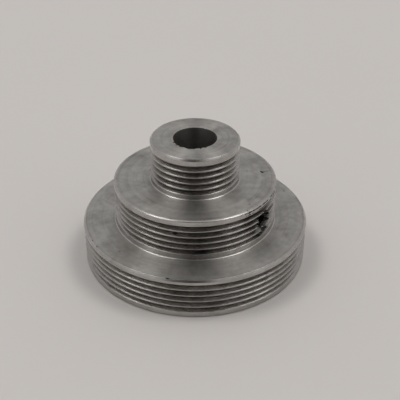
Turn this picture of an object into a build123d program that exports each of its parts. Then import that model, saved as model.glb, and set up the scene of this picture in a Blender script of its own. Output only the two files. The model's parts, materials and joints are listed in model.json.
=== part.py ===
from build123d import *
import os
from math import cos, radians, sin, tan

# A three-step pulley for a flat belt with five V ribs (the J section), and the set
# screw that locks it on its shaft. The pulley is turned in one piece from an aluminium
# bar: three grooved rims of falling size, a straight bore through all of them, and one
# tapped hole from the middle rim to the bore.
#
# Millimetres and degrees. +Z runs along the shaft, from the large step to the small
# one. The origin is on the shaft's axis, in the back face of the large step.

# Belt grooves, the same on every step
rib_pitch = 2.34
groove_count = 5
groove_angle = 40.0
rib_crest = 0.42  # width of a rib at the rim; its edges are left sharp
groove_root_radius = 0.4

# Steps. The foot land is the plain rim behind a step's grooves, the rim land the plain
# rim in front of them.
large_diameter = 81.0
large_foot_land = 2.15
large_rim_land = 1.7

middle_diameter = 57.8
middle_foot_land = 2.15
middle_rim_land = 2.05

small_diameter = 31.5
small_foot_land = 1.85
small_rim_land = 2.45

# The bevel round the front edge of each step, and the corner left by the nose
# of the turning tool where a rim meets the face behind it
bevel_reach = 0.65
bevel_drop = 0.65
foot_corner_radius = 0.4
back_edge_break = 0.3

# Shaft bore
bore_diameter = 15.0
bore_edge_break = 0.2

# Set screw, M6 with a hexagon socket and a cup point
screw_diameter = 6.0
screw_length = 10.0
screw_end_bevel = 0.6
cup_diameter = 3.0
cup_angle = 120.0
socket_width = 3.0
socket_depth = 3.5
socket_drill_angle = 120.0
thread_clearance = 0.05  # between the screw and the wall of its hole, all round
tip_setback = 0.2  # from the wall of the bore to the tip of the screw
screw_azimuth = 55.0  # from -Y towards +X

# Worked out from the sizes above
grooved_width = groove_count * rib_pitch - rib_crest
large_face = large_foot_land + grooved_width + large_rim_land
middle_face = large_face + middle_foot_land + grooved_width + middle_rim_land
small_face = middle_face + small_foot_land + grooved_width + small_rim_land
bore_radius = bore_diameter / 2

# The set screw stands in the middle of the middle step's grooves.
screw_height = large_face + middle_foot_land + grooved_width / 2
screw_direction = (sin(radians(screw_azimuth)), -cos(radians(screw_azimuth)), 0)
screw_axis = Plane(origin=(0, 0, screw_height), z_dir=screw_direction)


def at(section, x, y):
    """The corner of a section at this place."""
    return section.vertices().sort_by_distance(Vector(x, y))[0]


def groove_section(rim_radius, height):
    """One V groove, open at the rim, with its root rounded."""
    half_mouth = (rib_pitch - rib_crest) / 2
    depth = half_mouth / tan(radians(groove_angle / 2))
    outline = Polyline(
        (rim_radius, height - half_mouth),
        (rim_radius - depth, height),
        (rim_radius, height + half_mouth),
        close=True,
    )
    groove = make_face(outline)
    return fillet(at(groove, rim_radius - depth, height), groove_root_radius)


def step_section(diameter, back, foot_land, face):
    """Half of one step, cut along the axis: x is the radius, y the height."""
    rim_radius = diameter / 2
    outline = Polyline(
        (bore_radius, back),
        (rim_radius, back),
        (rim_radius, face - bevel_drop),
        (rim_radius - bevel_reach, face),
        (bore_radius, face),
        close=True,
    )
    section = make_face(outline)
    first_groove = back + foot_land + (rib_pitch - rib_crest) / 2
    for number in range(groove_count):
        section -= groove_section(rim_radius, first_groove + number * rib_pitch)
    return section


def make_pulley():
    """The turned pulley, with its bore and its tapped hole."""
    section = step_section(large_diameter, 0, large_foot_land, large_face)
    section += step_section(middle_diameter, large_face, middle_foot_land, middle_face)
    section += step_section(small_diameter, middle_face, small_foot_land, small_face)
    feet = [
        at(section, middle_diameter / 2, large_face),
        at(section, small_diameter / 2, middle_face),
    ]
    section = fillet(feet, foot_corner_radius)
    bore_mouths = [at(section, bore_radius, 0), at(section, bore_radius, small_face)]
    section = chamfer(bore_mouths, bore_edge_break)
    section = chamfer(at(section, large_diameter / 2, 0), back_edge_break)
    pulley = revolve(Plane.XZ * section, Axis.Z)

    outwards = (Align.CENTER, Align.CENTER, Align.MIN)
    hole = Cylinder(screw_diameter / 2 + thread_clearance, middle_diameter, align=outwards)
    return pulley - screw_axis * hole


def make_set_screw():
    """The set screw at rest, its tip just inside the wall of the bore."""
    radius = screw_diameter / 2
    cup_radius = cup_diameter / 2
    cup_depth = cup_radius / tan(radians(cup_angle / 2))
    outline = Polyline(
        (0, cup_depth),
        (cup_radius, 0),
        (radius, radius - cup_radius),
        (radius, screw_length - screw_end_bevel),
        (radius - screw_end_bevel, screw_length),
        (0, screw_length),
        close=True,
    )
    screw = revolve(Plane.XZ * make_face(outline), Axis.Z)

    hexagon = RegularPolygon(socket_width / 2, 6, major_radius=False)
    screw -= extrude(Pos(0, 0, screw_length - socket_depth) * hexagon, socket_depth)
    drill_depth = (socket_width / 2) / tan(radians(socket_drill_angle / 2))
    drill_end = Cone(0, socket_width / 2, drill_depth)
    screw -= Pos(0, 0, screw_length - socket_depth - drill_depth / 2) * drill_end
    return screw_axis * Pos(0, 0, bore_radius + tip_setback) * screw


os.makedirs("parts", exist_ok=True)
export_step(make_pulley(), "parts/pulley_body.step")
export_step(make_set_screw(), "parts/set_screw.step")
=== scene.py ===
# %% [markdown]
# # A stepped pulley for ribbed belts
# This pulley is one piece of aluminium bar, turned on a lathe. It has three rims of
# falling size, each with five small V grooves, a straight bore for the shaft, and a
# tapped hole in the middle rim. A set screw in that hole grips the shaft. The CAD model
# is the frame: it says how large everything is and where it lies. Here the same shapes
# are made again with finer detail (real screw threads, rounded ribs, nicks and burrs)
# and with the finishes that the cutting tools leave.

# %% Load the frame
import json
import math
import random

import bmesh
import bpy
from mathutils import Matrix, Vector, noise


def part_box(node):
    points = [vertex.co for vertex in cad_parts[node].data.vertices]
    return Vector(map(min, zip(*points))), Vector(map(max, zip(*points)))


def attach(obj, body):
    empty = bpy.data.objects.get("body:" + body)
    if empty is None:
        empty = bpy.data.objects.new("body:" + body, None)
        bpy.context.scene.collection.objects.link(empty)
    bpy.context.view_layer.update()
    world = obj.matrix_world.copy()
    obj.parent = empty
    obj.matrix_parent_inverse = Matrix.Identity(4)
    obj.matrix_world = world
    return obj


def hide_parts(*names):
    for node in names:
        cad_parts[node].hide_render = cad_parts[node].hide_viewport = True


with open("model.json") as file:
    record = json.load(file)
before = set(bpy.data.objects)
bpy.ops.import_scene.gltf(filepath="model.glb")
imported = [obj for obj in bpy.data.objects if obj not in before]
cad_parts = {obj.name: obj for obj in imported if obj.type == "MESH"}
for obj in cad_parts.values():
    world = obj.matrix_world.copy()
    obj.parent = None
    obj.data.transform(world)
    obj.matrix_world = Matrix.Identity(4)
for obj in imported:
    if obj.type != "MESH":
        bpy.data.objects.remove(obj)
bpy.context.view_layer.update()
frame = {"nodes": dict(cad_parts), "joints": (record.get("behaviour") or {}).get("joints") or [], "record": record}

# %% [markdown]
# ## Sizes
# The record's mounts give the bore and the three belt seats, and the corners of the CAD
# pulley give the faces and the bevels. The shape of a belt groove is stated, because it
# is a standard one: the J section, with ribs 2.34 mm apart and sides 40 degrees apart.
# Roundings and other small sizes are stated too, each beside the shape it belongs to.

# %% Sizes from the frame
MM = 0.001
TOUCH = 0.002 * MM  # places closer together than this count as the same
RIB_PITCH = 2.34 * MM
GROOVES = 5
GROOVE_ANGLE = math.radians(40)

mounts = {mount["name"]: mount for mount in frame["record"]["mounts"]}
cad_pulley = frame["nodes"]["pulley_body"].data
cad_corners = [(corner.co.xy.length, corner.co.z) for corner in cad_pulley.vertices]
pulley_height = max(height for radius, height in cad_corners)
bore_radius = mounts["shaft_bore"]["dims"]["r_mm"] * MM
bore_break = (pulley_height - mounts["shaft_bore"]["dims"]["length_mm"] * MM) / 2
mouth_radius = bore_radius + bore_break


def measured_step(name, inner_radius):
    """The sizes of one step, from its belt seat and the CAD corners outside a radius."""
    seat = mounts[f"{name}_belt_seat"]
    rim = seat["dims"]["r_mm"] * MM
    grooved_width = seat["dims"]["length_mm"] * MM
    band = [(r, z) for r, z in cad_corners if inner_radius + MM < r < rim + TOUCH]
    face = max(z for r, z in band)
    return {
        "rim": rim,
        "groove_start": seat["pos_m"][2] - grooved_width / 2,
        "crest": GROOVES * RIB_PITCH - grooved_width,
        "face": face,
        "bevel_start": max(r for r, z in band if z > face - TOUCH),
        "bevel_end": max(z for r, z in band if r > rim - TOUCH),
    }


small = measured_step("small", bore_radius)
middle = measured_step("middle", small["rim"])
large = measured_step("large", middle["rim"])
steps = [large, middle, small]
for step in steps:
    print("step", {key: round(value / MM, 3) for key, value in step.items()})

# %% The set screw's hole
joint = frame["joints"][0]
hole_direction = Vector(joint["axis"]).normalized()
screw_low, screw_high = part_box("set_screw")
hole_height = (screw_low.z + screw_high.z) / 2
screw_radius = (screw_high.z - screw_low.z) / 2
cad_screw = frame["nodes"]["set_screw"].data
screw_corners = [corner.co.dot(hole_direction) for corner in cad_screw.vertices]
screw_tip, screw_head = min(screw_corners), max(screw_corners)
hole_frame = Matrix.Translation((0, 0, hole_height)) @ hole_direction.to_track_quat(
    "Z", "Y").to_matrix().to_4x4()
print("hole at height", round(hole_height / MM, 2), "screw from", round(screw_tip / MM, 2),
      "to", round(screw_head / MM, 2), "mm from the axis")

# %% [markdown]
# ## Helpers for meshes
# A turned piece starts as an outline: a chain of corners on one side of the axis. Each
# corner is rounded while it is still a wire, with a bevel on its vertex, and the whole
# outline is then spun about the axis. That is what a lathe does, so the rings of faces
# lie just as the tool marks do.

# %% Mesh helpers
WELD = 1e-7  # corners closer together than this are joined
SMALL_ROUNDING = 0.3 * MM  # a corner rounded by less than this takes fewer steps
SMALL_STEPS = 4
LARGE_STEPS = 6


def round_corner(bm, corner, radius, segments):
    """Rounds a corner of a wire outline to about this radius."""
    one, other = [edge.other_vert(corner).co - corner.co for edge in corner.link_edges]
    half = one.angle(other) / 2
    depth = radius * (1 / math.sin(half) - 1)
    reach = depth / ((2 - math.sqrt(2)) * math.cos(half))
    bmesh.ops.bevel(bm, geom=[corner], offset=reach, segments=segments, profile=0.5,
                    affect="VERTICES", material=-1)


def spun(corners, segments, closed):
    """A bmesh of an outline spun about Z. A corner is (radius, height, rounding)."""
    bm = bmesh.new()
    verts = [bm.verts.new((radius, 0, height)) for radius, height, rounding in corners]
    links = list(zip(verts, verts[1:])) + ([(verts[-1], verts[0])] if closed else [])
    for one, other in links:
        bm.edges.new((one, other))
    for vert, (radius, height, rounding) in zip(verts, corners):
        if rounding:
            is_small = rounding < SMALL_ROUNDING
            round_corner(bm, vert, rounding, SMALL_STEPS if is_small else LARGE_STEPS)
    bmesh.ops.spin(bm, geom=bm.verts[:] + bm.edges[:], cent=(0, 0, 0), axis=(0, 0, 1),
                   dvec=(0, 0, 0), angle=math.tau, steps=segments, use_merge=True)
    bmesh.ops.remove_doubles(bm, verts=bm.verts, dist=WELD)
    bmesh.ops.recalc_face_normals(bm, faces=bm.faces)
    return bm


def piece_from(bm, name, materials=()):
    """Makes a bmesh an object in the scene."""
    mesh = bpy.data.meshes.new(name)
    bm.to_mesh(mesh)
    bm.free()
    for material in materials:
        mesh.materials.append(material)
    piece = bpy.data.objects.new(name, mesh)
    bpy.context.scene.collection.objects.link(piece)
    return piece


def keep_result(piece):
    """Makes what the piece's modifiers give its mesh, and takes the modifiers off."""
    bpy.context.view_layer.update()
    evaluated = piece.evaluated_get(bpy.context.evaluated_depsgraph_get())
    mesh = bpy.data.meshes.new_from_object(evaluated)
    piece.modifiers.clear()
    old, piece.data = piece.data, mesh
    bpy.data.meshes.remove(old)


def carve(piece, tool, operation="DIFFERENCE"):
    """Cuts the piece with a tool, which is used up."""
    modifier = piece.modifiers.new("cut", "BOOLEAN")
    modifier.operation = operation
    modifier.solver = "MANIFOLD"
    modifier.object = tool
    keep_result(piece)
    bpy.data.objects.remove(tool)


# %% [markdown]
# ## The turned outline
# Going round one half of the section: up the bore, out along the small face, down over
# each bevel and its ribs to the foot of the step, out along the next face, and so on to
# the back. A foot keeps the small radius of the tool's nose. The edges of the ribs are
# rounded to 0.2 mm and the roots of the grooves to 0.4 mm, as the belt section asks. The
# bevel of the middle step was cut flatter than the other two, so it takes only a share of
# their drop, and its outer edge is rounder.

# %% Turned outline
SEGMENTS = 288
RIB_EDGE = 0.2 * MM
GROOVE_ROOT = 0.4 * MM
BEVEL_EDGE = 0.12 * MM
BEVEL_SHARES = (1, 0.36, 1)  # from the large step to the small one
FOOT = 0.4 * MM
BACK_BREAK = 0.3 * MM


def rim_corners(step, back, bevel_share):
    """The corners of one rim, from its foot to the inner edge of its bevel."""
    half_mouth = (RIB_PITCH - step["crest"]) / 2
    depth = half_mouth / math.tan(GROOVE_ANGLE / 2)
    corners = [(step["rim"], back, FOOT)]
    for number in range(GROOVES):
        centre = step["groove_start"] + half_mouth + number * RIB_PITCH
        corners += [
            (step["rim"], centre - half_mouth, RIB_EDGE),
            (step["rim"] - depth, centre, GROOVE_ROOT),
            (step["rim"], centre + half_mouth, RIB_EDGE),
        ]
    drop = (step["face"] - step["bevel_end"]) * bevel_share
    corners.append((step["rim"], step["face"] - drop, BEVEL_EDGE / bevel_share))
    corners.append((step["bevel_start"], step["face"], BEVEL_EDGE))
    return corners


outline = [
    (bore_radius, bore_break, 0),
    (mouth_radius, 0, 0),
    (large["rim"] - BACK_BREAK, 0, 0),
    (large["rim"], BACK_BREAK, 0),
]
outline += rim_corners(large, BACK_BREAK, BEVEL_SHARES[0])[1:]
for below, step, bevel_share in zip(steps, steps[1:], BEVEL_SHARES[1:]):
    outline += rim_corners(step, below["face"], bevel_share)
outline += [
    (mouth_radius, pulley_height, 0),
    (bore_radius, pulley_height - bore_break, 0),
]
blank = spun(outline, SEGMENTS, closed=True)
print("turned blank:", len(outline), "corners,", len(blank.faces), "faces")

# %% [markdown]
# ## The finishes' places
# The lathe leaves a different surface in each place, so each face of the mesh is given
# the material of the cut that made it. The broken edges of the bore and of the back share
# the dents' finish: dull, and painted dark as shade; at the back it stands for the shadow
# where the pulley meets the floor. The materials are made here, still empty, because a
# Boolean cut only keeps the finishes apart if both meshes already have them.

# %% Sort the faces by how they were cut
FLAT = 0.9999  # a face that looks along the axis at least this much was faced
GROOVE_TOP = 0.1 * MM  # depths below the rim where the groove and its root begin
ROOT_TOP = 0.9 * MM
FINISHES = ["faced", "rim", "groove", "root", "bored", "tapped", "dent"]
aluminium = [bpy.data.materials.new(f"{finish}_aluminium") for finish in (
    "faced", "finish_turned", "form_cut", "root_shade", "bored", "tapped", "dent_shade")]


def finish_of(face):
    """Which cut made this face of the turned blank."""
    centre = face.calc_center_median()
    radius = centre.xy.length
    if radius < bore_radius + TOUCH:
        return "bored"
    # the broken edge of the bore is painted dark, as shade
    if radius < mouth_radius:
        return "dent"
    if abs(face.normal.z) > FLAT:
        return "faced"
    # the broken edge at the back is painted dark, as the shadow where the pulley stands
    if centre.z < BACK_BREAK:
        return "dent"
    for step in steps:
        if centre.z < step["face"] + TOUCH:
            if centre.z > step["bevel_end"] or centre.z < step["groove_start"]:
                return "rim"
            depth = step["rim"] - radius
            return "rim" if depth < GROOVE_TOP else "groove" if depth < ROOT_TOP else "root"
    return "rim"


for face in blank.faces:
    face.material_index = FINISHES.index(finish_of(face))
    face.smooth = True
sorted_faces = [face.material_index for face in blank.faces]
print("faces:", {finish: sorted_faces.count(n) for n, finish in enumerate(FINISHES)})
pulley = piece_from(blank, "turned_pulley", aluminium)


def carve_pulley(bm, finish):
    """Cuts a mesh out of the pulley. The walls of the cut take this finish."""
    for face in bm.faces:
        face.material_index = FINISHES.index(finish)
        face.smooth = True
    carve(pulley, piece_from(bm, "tool", aluminium))


# %% [markdown]
# ## Screw threads
# A thread is one turn of its profile, spun about the axis while it climbs by one pitch
# for each turn. The spin operator does this with its dvec. The rod is made longer than
# it has to be, cut square at both ends, and closed. The hole's thread and the screw's
# thread start at the same place and have the same pitch, so they stay in mesh.

# %% Threaded rod
THREAD_PITCH = 1.0 * MM
THREAD_SEGMENTS = 40
CREST_SHARE = 1 / 8
FLANK_SLOPE = math.tan(math.radians(30))


def threaded_rod(major, minor, start, end):
    """A closed rod with an M6 thread, along Z from start to end."""
    half_crest = THREAD_PITCH * CREST_SHARE / 2
    half_root = half_crest + (major - minor) * FLANK_SLOPE
    turn = [
        (minor, -THREAD_PITCH / 2),
        (minor, -half_root),
        (major, -half_crest),
        (major, half_crest),
        (minor, half_root),
        (minor, THREAD_PITCH / 2),
    ]
    first = math.floor(start / THREAD_PITCH) - 1
    turns = math.ceil(end / THREAD_PITCH) + 1 - first
    bm = bmesh.new()
    verts = [bm.verts.new((radius, 0, first * THREAD_PITCH + z)) for radius, z in turn]
    for one, other in zip(verts, verts[1:]):
        bm.edges.new((one, other))
    bmesh.ops.spin(bm, geom=bm.verts[:] + bm.edges[:], cent=(0, 0, 0), axis=(0, 0, 1),
                   dvec=(0, 0, THREAD_PITCH / THREAD_SEGMENTS), angle=math.tau * turns,
                   steps=THREAD_SEGMENTS * turns, use_merge=False)
    bmesh.ops.remove_doubles(bm, verts=bm.verts, dist=WELD)
    for height, upwards in ((start, False), (end, True)):
        cut = bmesh.ops.bisect_plane(
            bm, geom=bm.verts[:] + bm.edges[:] + bm.faces[:], plane_co=(0, 0, height),
            plane_no=(0, 0, 1), clear_outer=upwards, clear_inner=not upwards)
        rim = [part for part in cut["geom_cut"] if isinstance(part, bmesh.types.BMEdge)]
        bmesh.ops.edgeloop_fill(bm, edges=rim)
    bmesh.ops.recalc_face_normals(bm, faces=bm.faces)
    return bm


# %% [markdown]
# ## The tapped hole
# The hole was drilled 5 mm wide through the ribs and tapped M6. Where it breaks through
# the ribs, the drill and the tap leave torn edges.

# %% Tap the hole
THREAD_GAP = 0.03 * MM  # from the nominal radius to either thread
TAPPED_DEPTH = 0.5413 * THREAD_PITCH  # of a metric thread in a hole
TAP_START = 0.6 * bore_radius
TAP_OVERRUN = 2 * MM
hole_major = screw_radius + THREAD_GAP
tap = threaded_rod(hole_major, hole_major - TAPPED_DEPTH, TAP_START,
                   middle["rim"] + TAP_OVERRUN)
tap.transform(hole_frame)
# the walls of the hole take the tapped finish, which is painted near black as shade
carve_pulley(tap, "tapped")
print("pulley with its hole:", len(pulley.data.polygons), "faces")

# %% [markdown]
# ## The burr at the hole's mouth
# Aluminium tears when a drill and a tap break through thin ribs. First the mouth is
# opened a little with a shallow countersink. Then the edge between the hole and the ribs
# is found from the finishes on its two sides, and its corners are pulled outwards by
# uneven amounts. A curl of metal is left standing at the lower edge.

# %% Burr
SINK = 0.45 * MM  # how much wider than the screw the countersink is at its mouth
SINK_HALF = 2 * MM  # half the height of its right-angled cone
BURR = 0.4 * MM
BURR_DEPTH = 2.2 * MM  # how far below the rim the edge is torn
BURR_SIDEWAYS = (-0.3, 0.5)  # how far a torn corner moves sideways, in burrs
CURL = 0.9 * MM
CURL_DEPTH = 0.5 * MM  # how far below the rim the curl stands
CURL_BELOW = -0.8  # the curl stands where the way out of the hole points down this much
sink_bm = bmesh.new()
bmesh.ops.create_cone(
    sink_bm, cap_ends=True, segments=THREAD_SEGMENTS, depth=2 * SINK_HALF,
    radius1=screw_radius + SINK - SINK_HALF, radius2=screw_radius + SINK + SINK_HALF,
    matrix=hole_frame @ Matrix.Translation((0, 0, middle["rim"] - SINK)))
# the countersink's walls are painted near black too, as shade
carve_pulley(sink_bm, "tapped")

random.seed(7)
burred = bmesh.new()
burred.from_mesh(pulley.data)
tapped = FINISHES.index("tapped")
torn = 0
for vert in burred.verts:
    sides = {face.material_index == tapped for face in vert.link_faces}
    depth = middle["rim"] - vert.co.xy.length
    if len(sides) == 2 and depth < BURR_DEPTH:
        from_axis = vert.co - hole_frame.translation
        outwards = (from_axis - from_axis.project(hole_direction)).normalized()
        curled = outwards.z < CURL_BELOW and depth < CURL_DEPTH
        vert.co += hole_direction * random.uniform(0, CURL if curled else BURR)
        vert.co += outwards * random.uniform(*BURR_SIDEWAYS) * BURR
        torn += 1
burred.to_mesh(pulley.data)
burred.free()
print("torn corners:", torn)

# %% [markdown]
# ## Nicks and scratches
# Soft metal picks up marks where it is gripped and knocked. Each nick is a small squashed
# sphere that is cut out. The larger ones stand where this pulley has them: six round the
# mouth of the bore, where chips tore out, one in a groove, three on the middle face, and
# three on the large step. Beside the tapped hole a vice has slipped. It left a cluster of
# scuffs and scored three ragged lines into the rim, and a fourth line runs along the
# torn mouth of the bore. The smallest nicks are strewn over the edges by chance.

# %% Where the nicks are
SCUFFS = 34
SCUFFED_ARC = (31, 68)
SCUFF_ROWS = (0.1, -0.9)  # above and below the start of the bevel, in millimetres
SCUFF_SIZES = (0.16, 0.42)
STRAY_NICKS = 26
STRAY_SIZES = (0.12, 0.28)
ON_RIBS = 0.5  # the chance that a stray nick is on a rib, not at the edge of a face


def nick_places():
    """The nicks as (angle from the front in degrees, radius, height, size)."""
    groove = middle["groove_start"] + (RIB_PITCH - middle["crest"]) / 2 + 3 * RIB_PITCH
    places = [
        (-66, mouth_radius + 0.2 * MM, small["face"], 0.55 * MM),
        (-38, mouth_radius + 0.3 * MM, small["face"], 0.50 * MM),
        (-13, mouth_radius + 0.2 * MM, small["face"], 0.60 * MM),
        (-4, mouth_radius + 0.1 * MM, small["face"], 0.50 * MM),
        (14, mouth_radius + 0.2 * MM, small["face"], 0.35 * MM),
        (27, mouth_radius + 0.1 * MM, small["face"], 0.30 * MM),
        (-13, large["bevel_start"], large["face"], 0.42 * MM),
        (-58, large["bevel_start"], large["face"], 0.30 * MM),
        (-14, middle["rim"] - 0.9 * MM, groove, 1.0 * MM),
        (98, 0.83 * middle["rim"], middle["face"], 0.45 * MM),
        (97, 0.84 * middle["rim"], middle["face"], 0.40 * MM),
        (96, 0.85 * middle["rim"], middle["face"], 0.30 * MM),
        (44, large["rim"], large["groove_start"] + 0.6 * RIB_PITCH, 0.40 * MM),
    ]
    for count in range(SCUFFS):
        places.append((
            random.uniform(*SCUFFED_ARC),
            middle["rim"],
            middle["bevel_end"] + random.choice(SCUFF_ROWS) * MM,
            random.uniform(*SCUFF_SIZES) * MM))
    for count in range(STRAY_NICKS):
        step = random.choice(steps)
        on_rib = random.random() < ON_RIBS
        rib = step["groove_start"] + random.randrange(1, GROOVES) * RIB_PITCH
        places.append((
            random.uniform(0, 360),
            step["rim"] if on_rib else step["bevel_start"],
            rib - step["crest"] / 2 if on_rib else step["face"],
            random.uniform(*STRAY_SIZES) * MM))
    return places


# %% Tools that cut them
NICK_STRETCH = (0.9, 1.6)
NICK_FLATNESS = 0.6
SCORE_STEPS = 40
SCORE_WAVE = 1.3 * MM  # the size of the uneven places along a scored line
UNEVEN = 1.8


def nicking_tool(places):
    """One mesh of squashed spheres, each lying along the way round."""
    bm = bmesh.new()
    for angle, radius, height, size in places:
        place = Matrix.Rotation(math.radians(angle), 4, "Z")
        place @= Matrix.Translation((0, -radius, height))
        place @= Matrix.Rotation(random.uniform(0, math.pi), 4, "X")
        length = size * random.uniform(*NICK_STRETCH)
        place @= Matrix.Diagonal((length, size, size * NICK_FLATNESS, 1))
        bmesh.ops.create_icosphere(bm, subdivisions=2, radius=1, matrix=place)
    return bm


def scoring_tool(start, end, radius, height, width):
    """A thin, uneven ring segment that scores a line from one angle to another."""
    bm = bmesh.new()
    place = Matrix.Rotation(math.radians(start), 4, "Z")
    place @= Matrix.Translation((0, -radius, height)) @ Matrix.Rotation(math.pi / 2, 4, "Y")
    bmesh.ops.create_circle(bm, segments=6, radius=width, matrix=place)
    bmesh.ops.spin(bm, geom=bm.verts[:] + bm.edges[:], cent=(0, 0, 0), axis=(0, 0, 1),
                   dvec=(0, 0, 0), angle=math.radians(end - start), steps=SCORE_STEPS,
                   use_merge=False)
    ends = [edge for edge in bm.edges if edge.is_boundary]
    bmesh.ops.holes_fill(bm, edges=ends, sides=0)
    bmesh.ops.recalc_face_normals(bm, faces=bm.faces)
    for vert in bm.verts:
        outwards = Vector((vert.co.x, vert.co.y, 0)).normalized()
        vert.co += outwards * width * UNEVEN * noise.noise(vert.co / SCORE_WAVE)
    return bm


# %% Cut the marks
for tool in (
    nicking_tool(nick_places()),
    scoring_tool(-68, -9, mouth_radius, pulley_height, 0.30 * MM),
    scoring_tool(37, 60, middle["rim"], middle["bevel_end"] + 0.05 * MM, 0.24 * MM),
    scoring_tool(63, 80, middle["rim"], middle["bevel_end"] + 0.10 * MM, 0.22 * MM),
    scoring_tool(48, 76, middle["rim"], middle["bevel_end"] - 0.90 * MM, 0.20 * MM),
):
    # the nicks and scored lines are painted dark inside, as shade
    carve_pulley(tool, "dent")
print("pulley with its marks:", len(pulley.data.polygons), "faces")

# %% [markdown]
# ## The set screw
# An M6 screw with no head: a threaded rod with both ends bevelled, a cup in the tip and
# a hexagon socket in the other end. The rod keeps only what it has in common with the
# turned shape of the screw, which gives the ends their bevels and the cup in one cut. The
# socket is cut last, as it is broached.

# %% Set screw
CUP_RADIUS = 1.5 * MM
CUP_SLOPE = math.tan(math.radians(30))
SOCKET_WIDTH = 3.0 * MM
SOCKET_DEPTH = 3.5 * MM
END_BEVEL = 0.6 * MM
END_ROUNDING = 0.05 * MM
SPARE = 1.0 * MM  # how far a cutting shape stands out beyond what it cuts
SCREW_SEGMENTS = 64
SCREW_DEPTH = 0.6134 * THREAD_PITCH  # of a metric thread on a screw
screw_major = screw_radius - THREAD_GAP
screw_bm = threaded_rod(screw_major, screw_major - SCREW_DEPTH, screw_tip - SPARE,
                        screw_head + SPARE)
screw = piece_from(screw_bm, "threaded_set_screw")
envelope = spun([
    (0, screw_tip + CUP_RADIUS * CUP_SLOPE, 0),
    (CUP_RADIUS, screw_tip, END_ROUNDING),
    (screw_radius + SPARE, screw_tip + screw_radius + SPARE - CUP_RADIUS, 0),
    (screw_radius + SPARE, screw_head - END_BEVEL + SPARE, 0),
    (screw_radius - END_BEVEL, screw_head, END_ROUNDING),
    (0, screw_head, 0),
], SCREW_SEGMENTS, closed=False)
carve(screw, piece_from(envelope, "envelope"), "INTERSECT")

socket_bm = bmesh.new()
broach_length = SOCKET_DEPTH + SPARE
broach_radius = SOCKET_WIDTH / math.sqrt(3)
bmesh.ops.create_cone(socket_bm, cap_ends=True, segments=6, depth=broach_length,
                      radius1=broach_radius, radius2=broach_radius)
bmesh.ops.translate(socket_bm, verts=socket_bm.verts,
                    vec=(0, 0, screw_head - SOCKET_DEPTH + broach_length / 2))
carve(screw, piece_from(socket_bm, "broach"))
screw.data.transform(hole_frame)
print("set screw:", len(screw.data.polygons), "faces")

# %% [markdown]
# ## Shading
# Long flat faces and small round edges share corners. Weighted normals give the say to
# the larger face, so flat stays flat and only the edge looks round.

# %% Smooth shading
SHARP_ANGLE = math.radians(28)


def shade(piece):
    """Smooth shading with sharp edges above an angle, and flat faces kept flat."""
    for polygon in piece.data.polygons:
        polygon.use_smooth = True
    piece.data.set_sharp_from_angle(angle=SHARP_ANGLE)
    piece.modifiers.new("weighted", "WEIGHTED_NORMAL").keep_sharp = True
    keep_result(piece)


for piece in (pulley, screw):
    shade(piece)
    print(piece.name, "shaded:", len(piece.data.polygons), "faces")

# %% [markdown]
# ## A helper for materials
# Every node is added by one small function, and the kinds of node that come up again and
# again have a short function each, which gives the node's result. Every colour is an
# sRGB hex value that one function turns to the linear values that shaders work in.

# %% Material helpers
def linear(hex_colour):
    """An sRGB hex colour as the linear colour that shaders take."""
    channels = [int(hex_colour[i:i + 2], 16) / 255 for i in (1, 3, 5)]
    return [c / 12.92 if c <= 0.04045 else ((c + 0.055) / 1.055) ** 2.4
            for c in channels] + [1]


def add(tree, kind, inputs=None, **settings):
    """Adds a node. An input is a value, or another node's output, which is linked."""
    made = tree.nodes.new("ShaderNode" + kind)
    for key, value in settings.items():
        setattr(made, key, value)
    for key, value in (inputs or {}).items():
        if isinstance(value, bpy.types.NodeSocket):
            tree.links.new(value, made.inputs[key])
        else:
            made.inputs[key].default_value = value
    return made


def cleared_tree(material):
    """The material's node tree, with nothing in it yet."""
    material.use_nodes = True
    material.node_tree.nodes.clear()
    return material.node_tree


def calc(tree, operation, *values, **settings):
    """The result of a sum on numbers."""
    numbers = dict(enumerate(values))
    return add(tree, "Math", numbers, operation=operation, **settings).outputs[0]


def vector_calc(tree, operation, result, inputs):
    """The result, a vector or a value, of a sum on vectors."""
    return add(tree, "VectorMath", inputs, operation=operation).outputs[result]


def ramp(tree, value, start, end, at_start, at_end, **settings):
    """A value that goes from at_start to at_end while another goes from start to end."""
    return add(tree, "MapRange", {
        "Value": value, "From Min": start, "From Max": end, "To Min": at_start,
        "To Max": at_end}, **settings).outputs["Result"]


def noise_signal(tree, inputs, detail, roughness=0.6, **settings):
    """A noise between 0 and 1."""
    return add(tree, "TexNoise", {**inputs, "Detail": detail, "Roughness": roughness},
               **settings).outputs[0]


def mixed(tree, share, one, other):
    """A colour between two colours. The inputs and the output are those for colours."""
    return add(tree, "Mix", {0: share, 6: one, 7: other}, data_type="RGBA").outputs[2]


def weighted_sum(tree, start, terms):
    """start plus each signal's distance from a half, times its weight."""
    total = start - sum(weight for signal, weight in terms) / 2
    for signal, weight in terms:
        total = calc(tree, "MULTIPLY_ADD", signal, weight, total)
    return total


# %% [markdown]
# ## Turned aluminium
# Bare aluminium bar, turned on a lathe and then handled. The tool's nose leaves a fine
# screw of grooves, so a light is drawn out across them into a fan from the axis to the
# rim. Anisotropic does that: the tangent goes round the axis, and a quarter of a turn
# of rotation lays the long side of the highlight across the turning lines. Dust and
# handling dull the metal in soft patches, and swarf leaves a few small dark specks. The
# grooves are darkened with painted shade, in long patches and more round the tapped hole.
# The tapped hole and the dents are painted dark as shade, and are rough with no clear direction.
#
# The patterns follow the path of the tool. On a face it moves along the radius and on a
# rim along the axis, so the radius plus the height gives its place on either. A real
# feed mark is about 0.1 mm wide. That is too fine to show here, so the lines are drawn
# 0.35 mm wide, with broader bands where the tool was stopped and started again.

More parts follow.
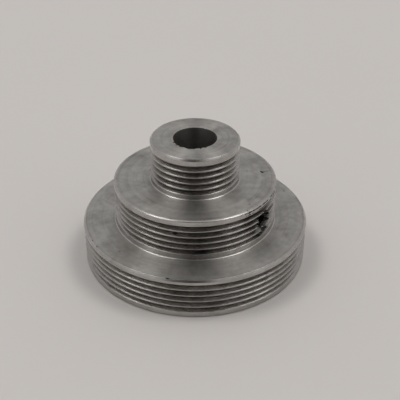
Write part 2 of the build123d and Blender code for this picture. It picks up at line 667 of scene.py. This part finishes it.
# %% Painted groove shade and specks
SPECK_SPACING = 5 * MM
SPECK_EDGE = (0.05, 0.09)  # where a speck ends, in speck spacings
SPECKLESS = 0.62  # the share of the places that stay without a speck
SHADE_REACH = 15 * MM
SHADE_AT_HOLE = 0.32
SHADE_PATCH = 5 * MM
SHADE_ARCS = 2.6  # how often the shade changes along its way round
SHADE_EDGE = (0.54, 0.74)


def painted_groove_shade(tree, place, around, height, amount):
    """Painted shade in the grooves: long patches, and more of it near the tapped hole."""
    mouth = hole_frame @ Vector((0, 0, middle["rim"]))
    away = vector_calc(tree, "DISTANCE", "Value", {0: place, 1: mouth})
    near_hole = ramp(tree, away, 0, SHADE_REACH, SHADE_AT_HOLE, 0)
    arcs = vector_calc(tree, "SCALE", 0, {0: around, "Scale": SHADE_ARCS})
    across = calc(tree, "MULTIPLY", height, 1 / SHADE_PATCH)
    groove_shade_share = noise_signal(tree, {"Vector": arcs, "W": across, "Scale": 1}, detail=4,
                        roughness=0.65, noise_dimensions="4D")
    return ramp(tree, calc(tree, "ADD", groove_shade_share, near_hole), *SHADE_EDGE, 0, amount)


def specks_at(tree, place, amount):
    """Small dark specks, left out at a share of their places."""
    cell = add(tree, "TexVoronoi", {"Vector": place, "Scale": 1 / SPECK_SPACING})
    inside = ramp(tree, cell.outputs["Distance"], *SPECK_EDGE, 1, 0)
    chance = add(tree, "SeparateColor", {0: cell.outputs["Color"]}).outputs[0]
    chosen = calc(tree, "GREATER_THAN", chance, SPECKLESS)
    return calc(tree, "MULTIPLY", calc(tree, "MULTIPLY", inside, chosen), amount)


# %% Turned aluminium
LINE_WIDTH = 0.35 * MM
LINE_ARCS = 1.7  # how often a line changes along its way round
BAND_WIDTH = 1.6 * MM
PATCH_SIZE = 9 * MM
PATCH_WEIGHT = 2.4  # how much more a patch stains the metal than a smudge does
SMUDGE_SIZE = 2.2 * MM
STAINED = 0.35  # how far the middle of the metal's tone lies towards the stained colour
ROUGH_SPREAD = 0.10
SPECK_ROUGHNESS = 0.25
RELIEF = 0.006 * MM
BAND_RELIEF = 0.6  # of a line's
# the colour of the shade that is painted into the grooves
GROOVE_SHADE_COLOUR = "#3b3733"


def turned_metal(material, colour, stained, roughness, anisotropy, lines=0.3, patches=0.5,
                 specks=0.8, groove_shade=0.0):
    """Metal with turning lines, dull patches, specks and painted shade in the grooves."""
    tree = cleared_tree(material)
    place = add(tree, "TexCoord").outputs["Object"]
    axes = add(tree, "SeparateXYZ", {0: place}).outputs
    spoke = add(tree, "CombineXYZ", {0: axes["X"], 1: axes["Y"]}).outputs[0]
    radius = vector_calc(tree, "LENGTH", "Value", {0: spoke})
    around = vector_calc(tree, "NORMALIZE", 0, {0: spoke})
    path = calc(tree, "ADD", radius, axes["Z"])

    arcs = vector_calc(tree, "SCALE", 0, {0: around, "Scale": LINE_ARCS})
    across = calc(tree, "MULTIPLY", path, 1 / LINE_WIDTH)
    line = noise_signal(tree, {"Vector": arcs, "W": across, "Scale": 1}, detail=3,
                        noise_dimensions="4D")
    band = noise_signal(tree, {"W": path, "Scale": 1 / BAND_WIDTH}, detail=2,
                        noise_dimensions="1D")
    patch = noise_signal(tree, {"Vector": place, "Scale": 1 / PATCH_SIZE,
                                "Distortion": 0.4}, detail=4, roughness=0.62)
    smudge = noise_signal(tree, {"Vector": place, "Scale": 1 / SMUDGE_SIZE}, detail=3)
    specked = specks_at(tree, place, specks)

    stains = weighted_sum(tree, STAINED, [
        (patch, patches * PATCH_WEIGHT), (smudge, patches), (line, lines), (band, lines)])
    dullness = calc(tree, "ADD", stains, specked, use_clamp=True)
    tint = mixed(tree, dullness, linear(colour), linear(stained))
    # the grooves are darkened with painted shade
    if groove_shade:
        groove_shade_share = painted_groove_shade(tree, place, around, axes["Z"], groove_shade)
        tint = mixed(tree, groove_shade_share, tint, linear(GROOVE_SHADE_COLOUR))
    rough = weighted_sum(tree, roughness, [(patch, ROUGH_SPREAD), (line, ROUGH_SPREAD)])
    rough = calc(tree, "MULTIPLY_ADD", specked, SPECK_ROUGHNESS, rough)
    relief = weighted_sum(tree, 0.5, [(line, 1), (band, BAND_RELIEF)])
    bump = add(tree, "Bump", {"Height": relief, "Distance": RELIEF, "Strength": 1})
    tangent = add(tree, "Tangent", direction_type="RADIAL", axis="Z")
    shader = add(tree, "BsdfPrincipled", {
        "Base Color": tint, "Metallic": 1, "Roughness": rough,
        "Anisotropic": anisotropy, "Anisotropic Rotation": 0.25,
        "Normal": bump.outputs["Normal"], "Tangent": tangent.outputs["Tangent"]})
    add(tree, "OutputMaterial", {"Surface": shader.outputs["BSDF"]})


# %% The finishes of the pulley
faced, finish_turned, form_cut, root_shade, bored, tapped_shade, dent_shade = aluminium
turned_metal(faced, "#bdbab6", "#8b8782", 0.38, 0.85, lines=0.5, patches=0.8)
turned_metal(finish_turned, "#c6c3c0", "#94908c", 0.26, 0.5, specks=0.3)
# the sides of the grooves get painted shade
turned_metal(form_cut, "#bdbab7", "#8c8884", 0.28, 0.6, groove_shade=0.7)
# the roots of the grooves are painted darker still, as shade
turned_metal(root_shade, "#8e8b89", "#5f5c59", 0.36, 0.4, groove_shade=0.8)
turned_metal(bored, "#b6b4b2", "#8d8a87", 0.38, 0.6)
# the tapped hole is painted near black, as shade
turned_metal(tapped_shade, "#3a3735", "#141312", 0.5, 0)
# the dents and broken edges are painted dark, as shade
turned_metal(dent_shade, "#4a4744", "#282624", 0.4, 0)
print("aluminium:", {metal.name: len(metal.node_tree.nodes) for metal in aluminium}, "nodes")

# %% [markdown]
# ## Black oxide steel
# The screw is hardened steel, blackened in a hot salt bath and oiled. The oxide is thin,
# so it keeps the sheen of the steel under it, and it is worn paler in small patches.

# %% Black oxide steel
MOTTLE_SIZE = 0.8 * MM
WORN_EDGE = (0.52, 0.75)
OXIDE_ROUGHNESS = 0.32
OXIDE_SPREAD = 0.25
OXIDE_RELIEF = 0.01 * MM


def black_oxide():
    """Blackened steel, mottled with wear."""
    material = bpy.data.materials.new("black_oxide_steel")
    tree = cleared_tree(material)
    place = add(tree, "TexCoord").outputs["Object"]
    mottle = noise_signal(tree, {"Vector": place, "Scale": 1 / MOTTLE_SIZE}, detail=4)
    worn = ramp(tree, mottle, *WORN_EDGE, 0, 1)
    tint = mixed(tree, worn, linear("#3a3a3c"), linear("#6e6b66"))
    rough = weighted_sum(tree, OXIDE_ROUGHNESS, [(mottle, OXIDE_SPREAD)])
    bump = add(tree, "Bump", {"Height": mottle, "Distance": OXIDE_RELIEF, "Strength": 1})
    shader = add(tree, "BsdfPrincipled", {
        "Base Color": tint, "Metallic": 1, "Roughness": rough,
        "Normal": bump.outputs["Normal"]})
    add(tree, "OutputMaterial", {"Surface": shader.outputs["BSDF"]})
    return material


screw.data.materials.clear()
screw.data.materials.append(black_oxide())
print(screw.name, "has", [material.name for material in screw.data.materials])

# %% [markdown]
# ## The pieces' places in the object
# The object moves as two bodies: the pulley, and the screw that is turned in and out of
# it. Each piece here rides one of them and takes the place of the plain CAD solid.

# %% The pieces' places in the object
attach(pulley, "pulley")
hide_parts("pulley_body")
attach(screw, "screw")
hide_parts("set_screw")
print("pieces:", pulley.name, screw.name)

# %% [markdown]
# ## Floor
# A wide sheet of pale card, a little uneven in tone, so that the object's soft shadow
# has something quiet to fall on.

# %% Floor
HALF_WIDTH = 3
CLOUD_SIZE = 0.15
floor_bm = bmesh.new()
bmesh.ops.create_grid(floor_bm, x_segments=1, y_segments=1, size=HALF_WIDTH)
floor = piece_from(floor_bm, "floor")
card = bpy.data.materials.new("matt_card")
tree = cleared_tree(card)
place = add(tree, "TexCoord").outputs["Object"]
clouds = noise_signal(tree, {"Vector": place, "Scale": 1 / CLOUD_SIZE}, detail=3,
                      roughness=0.5)
tint = mixed(tree, clouds, linear("#dfdad7"), linear("#dcd7d3"))
shader = add(tree, "BsdfPrincipled", {"Base Color": tint, "Roughness": 0.8,
                                      "Specular IOR Level": 0.2})
add(tree, "OutputMaterial", {"Surface": shader.outputs["BSDF"]})
floor.data.materials.append(card)
print("floor:", 2 * HALF_WIDTH, "m wide")

# %% [markdown]
# ## Light
# The pulley is bare metal, so it shows what stands around it. A pale room lights it
# softly from all sides. Two parts of it are dark: the side the camera stands on, which
# darkens the grooves at the front, and a part high above it, which darkens the front of
# the faces. Two soft lamps hang over the pulley, to the left and right. They put bright
# stripes on the flat bevel of the middle rim and at the feet of the steps.

# %% Light
ROOM = (0.507, 0.505, 0.501)
ROOM_PARTS = (  # direction, half angle of the full part, half angle at its end, amount
    ((0.10, -0.95, 0.2), 12, 35, -0.93),
    ((-0.08, -0.56, 0.83), 13, 22, -0.92),
    ((0.42, 0.08, 0.90), 6.5, 13.5, 9.5),
    ((-0.42, 0.08, 0.90), 6.5, 13.5, 9.5),
)
world = bpy.data.worlds.new("pale_room")
bpy.context.scene.world = world
world.use_nodes = True
tree = world.node_tree
tree.nodes.clear()
towards = add(tree, "TexCoord").outputs["Generated"]


def room_part(direction, inner, outer, amount):
    """A soft round part of the room: amount inside, 0 outside, angles in degrees."""
    facing = vector_calc(tree, "DOT_PRODUCT", "Value",
                         {0: towards, 1: Vector(direction).normalized()})
    return ramp(tree, facing, math.cos(math.radians(outer)), math.cos(math.radians(inner)),
                0, amount, interpolation_type="SMOOTHSTEP")


brightness = 1.0
for part in ROOM_PARTS:
    brightness = calc(tree, "ADD", room_part(*part), brightness)
colour = vector_calc(tree, "SCALE", "Vector", {0: ROOM, "Scale": brightness})
background = add(tree, "Background", {"Color": colour, "Strength": 1.0})
add(tree, "OutputWorld", {"Surface": background.outputs["Background"]})
bpy.context.scene.view_settings.view_transform = "Standard"
print("world:", len(ROOM_PARTS), "parts in", world.name)

# %% [markdown]
# ## Camera
# The camera looks down at the pulley at 33 degrees from a hand's reach away, which gives
# the steps their clear perspective.

# %% Camera
ELEVATION = math.radians(32.72)
CENTRE_HEIGHT = 0.02  # of the point on the axis that the distance is measured from
DISTANCE = 0.28814
ROLL = math.radians(0.23)
AIM = Vector((0.00179, 0, 0.02062))
camera_data = bpy.data.cameras.new("camera")
camera_data.sensor_width = 36
camera_data.lens = 71.27
camera = bpy.data.objects.new("camera", camera_data)
camera.location = (0, -DISTANCE * math.cos(ELEVATION),
                   CENTRE_HEIGHT + DISTANCE * math.sin(ELEVATION))
turn = (AIM - camera.location).to_track_quat("-Z", "Y").to_matrix()
camera.rotation_euler = (turn @ Matrix.Rotation(ROLL, 3, "Z")).to_euler()
bpy.context.scene.collection.objects.link(camera)
bpy.context.scene.camera = camera
print("camera at", [round(place, 4) for place in camera.location])

# %% [markdown]
# ## Triangles
# The triangles are counted because a piece may only have so many.

# %% Count the triangles
print("triangles", {p.name: sum(len(f.vertices) - 2 for f in p.data.polygons)
                    for p in (pulley, screw)})
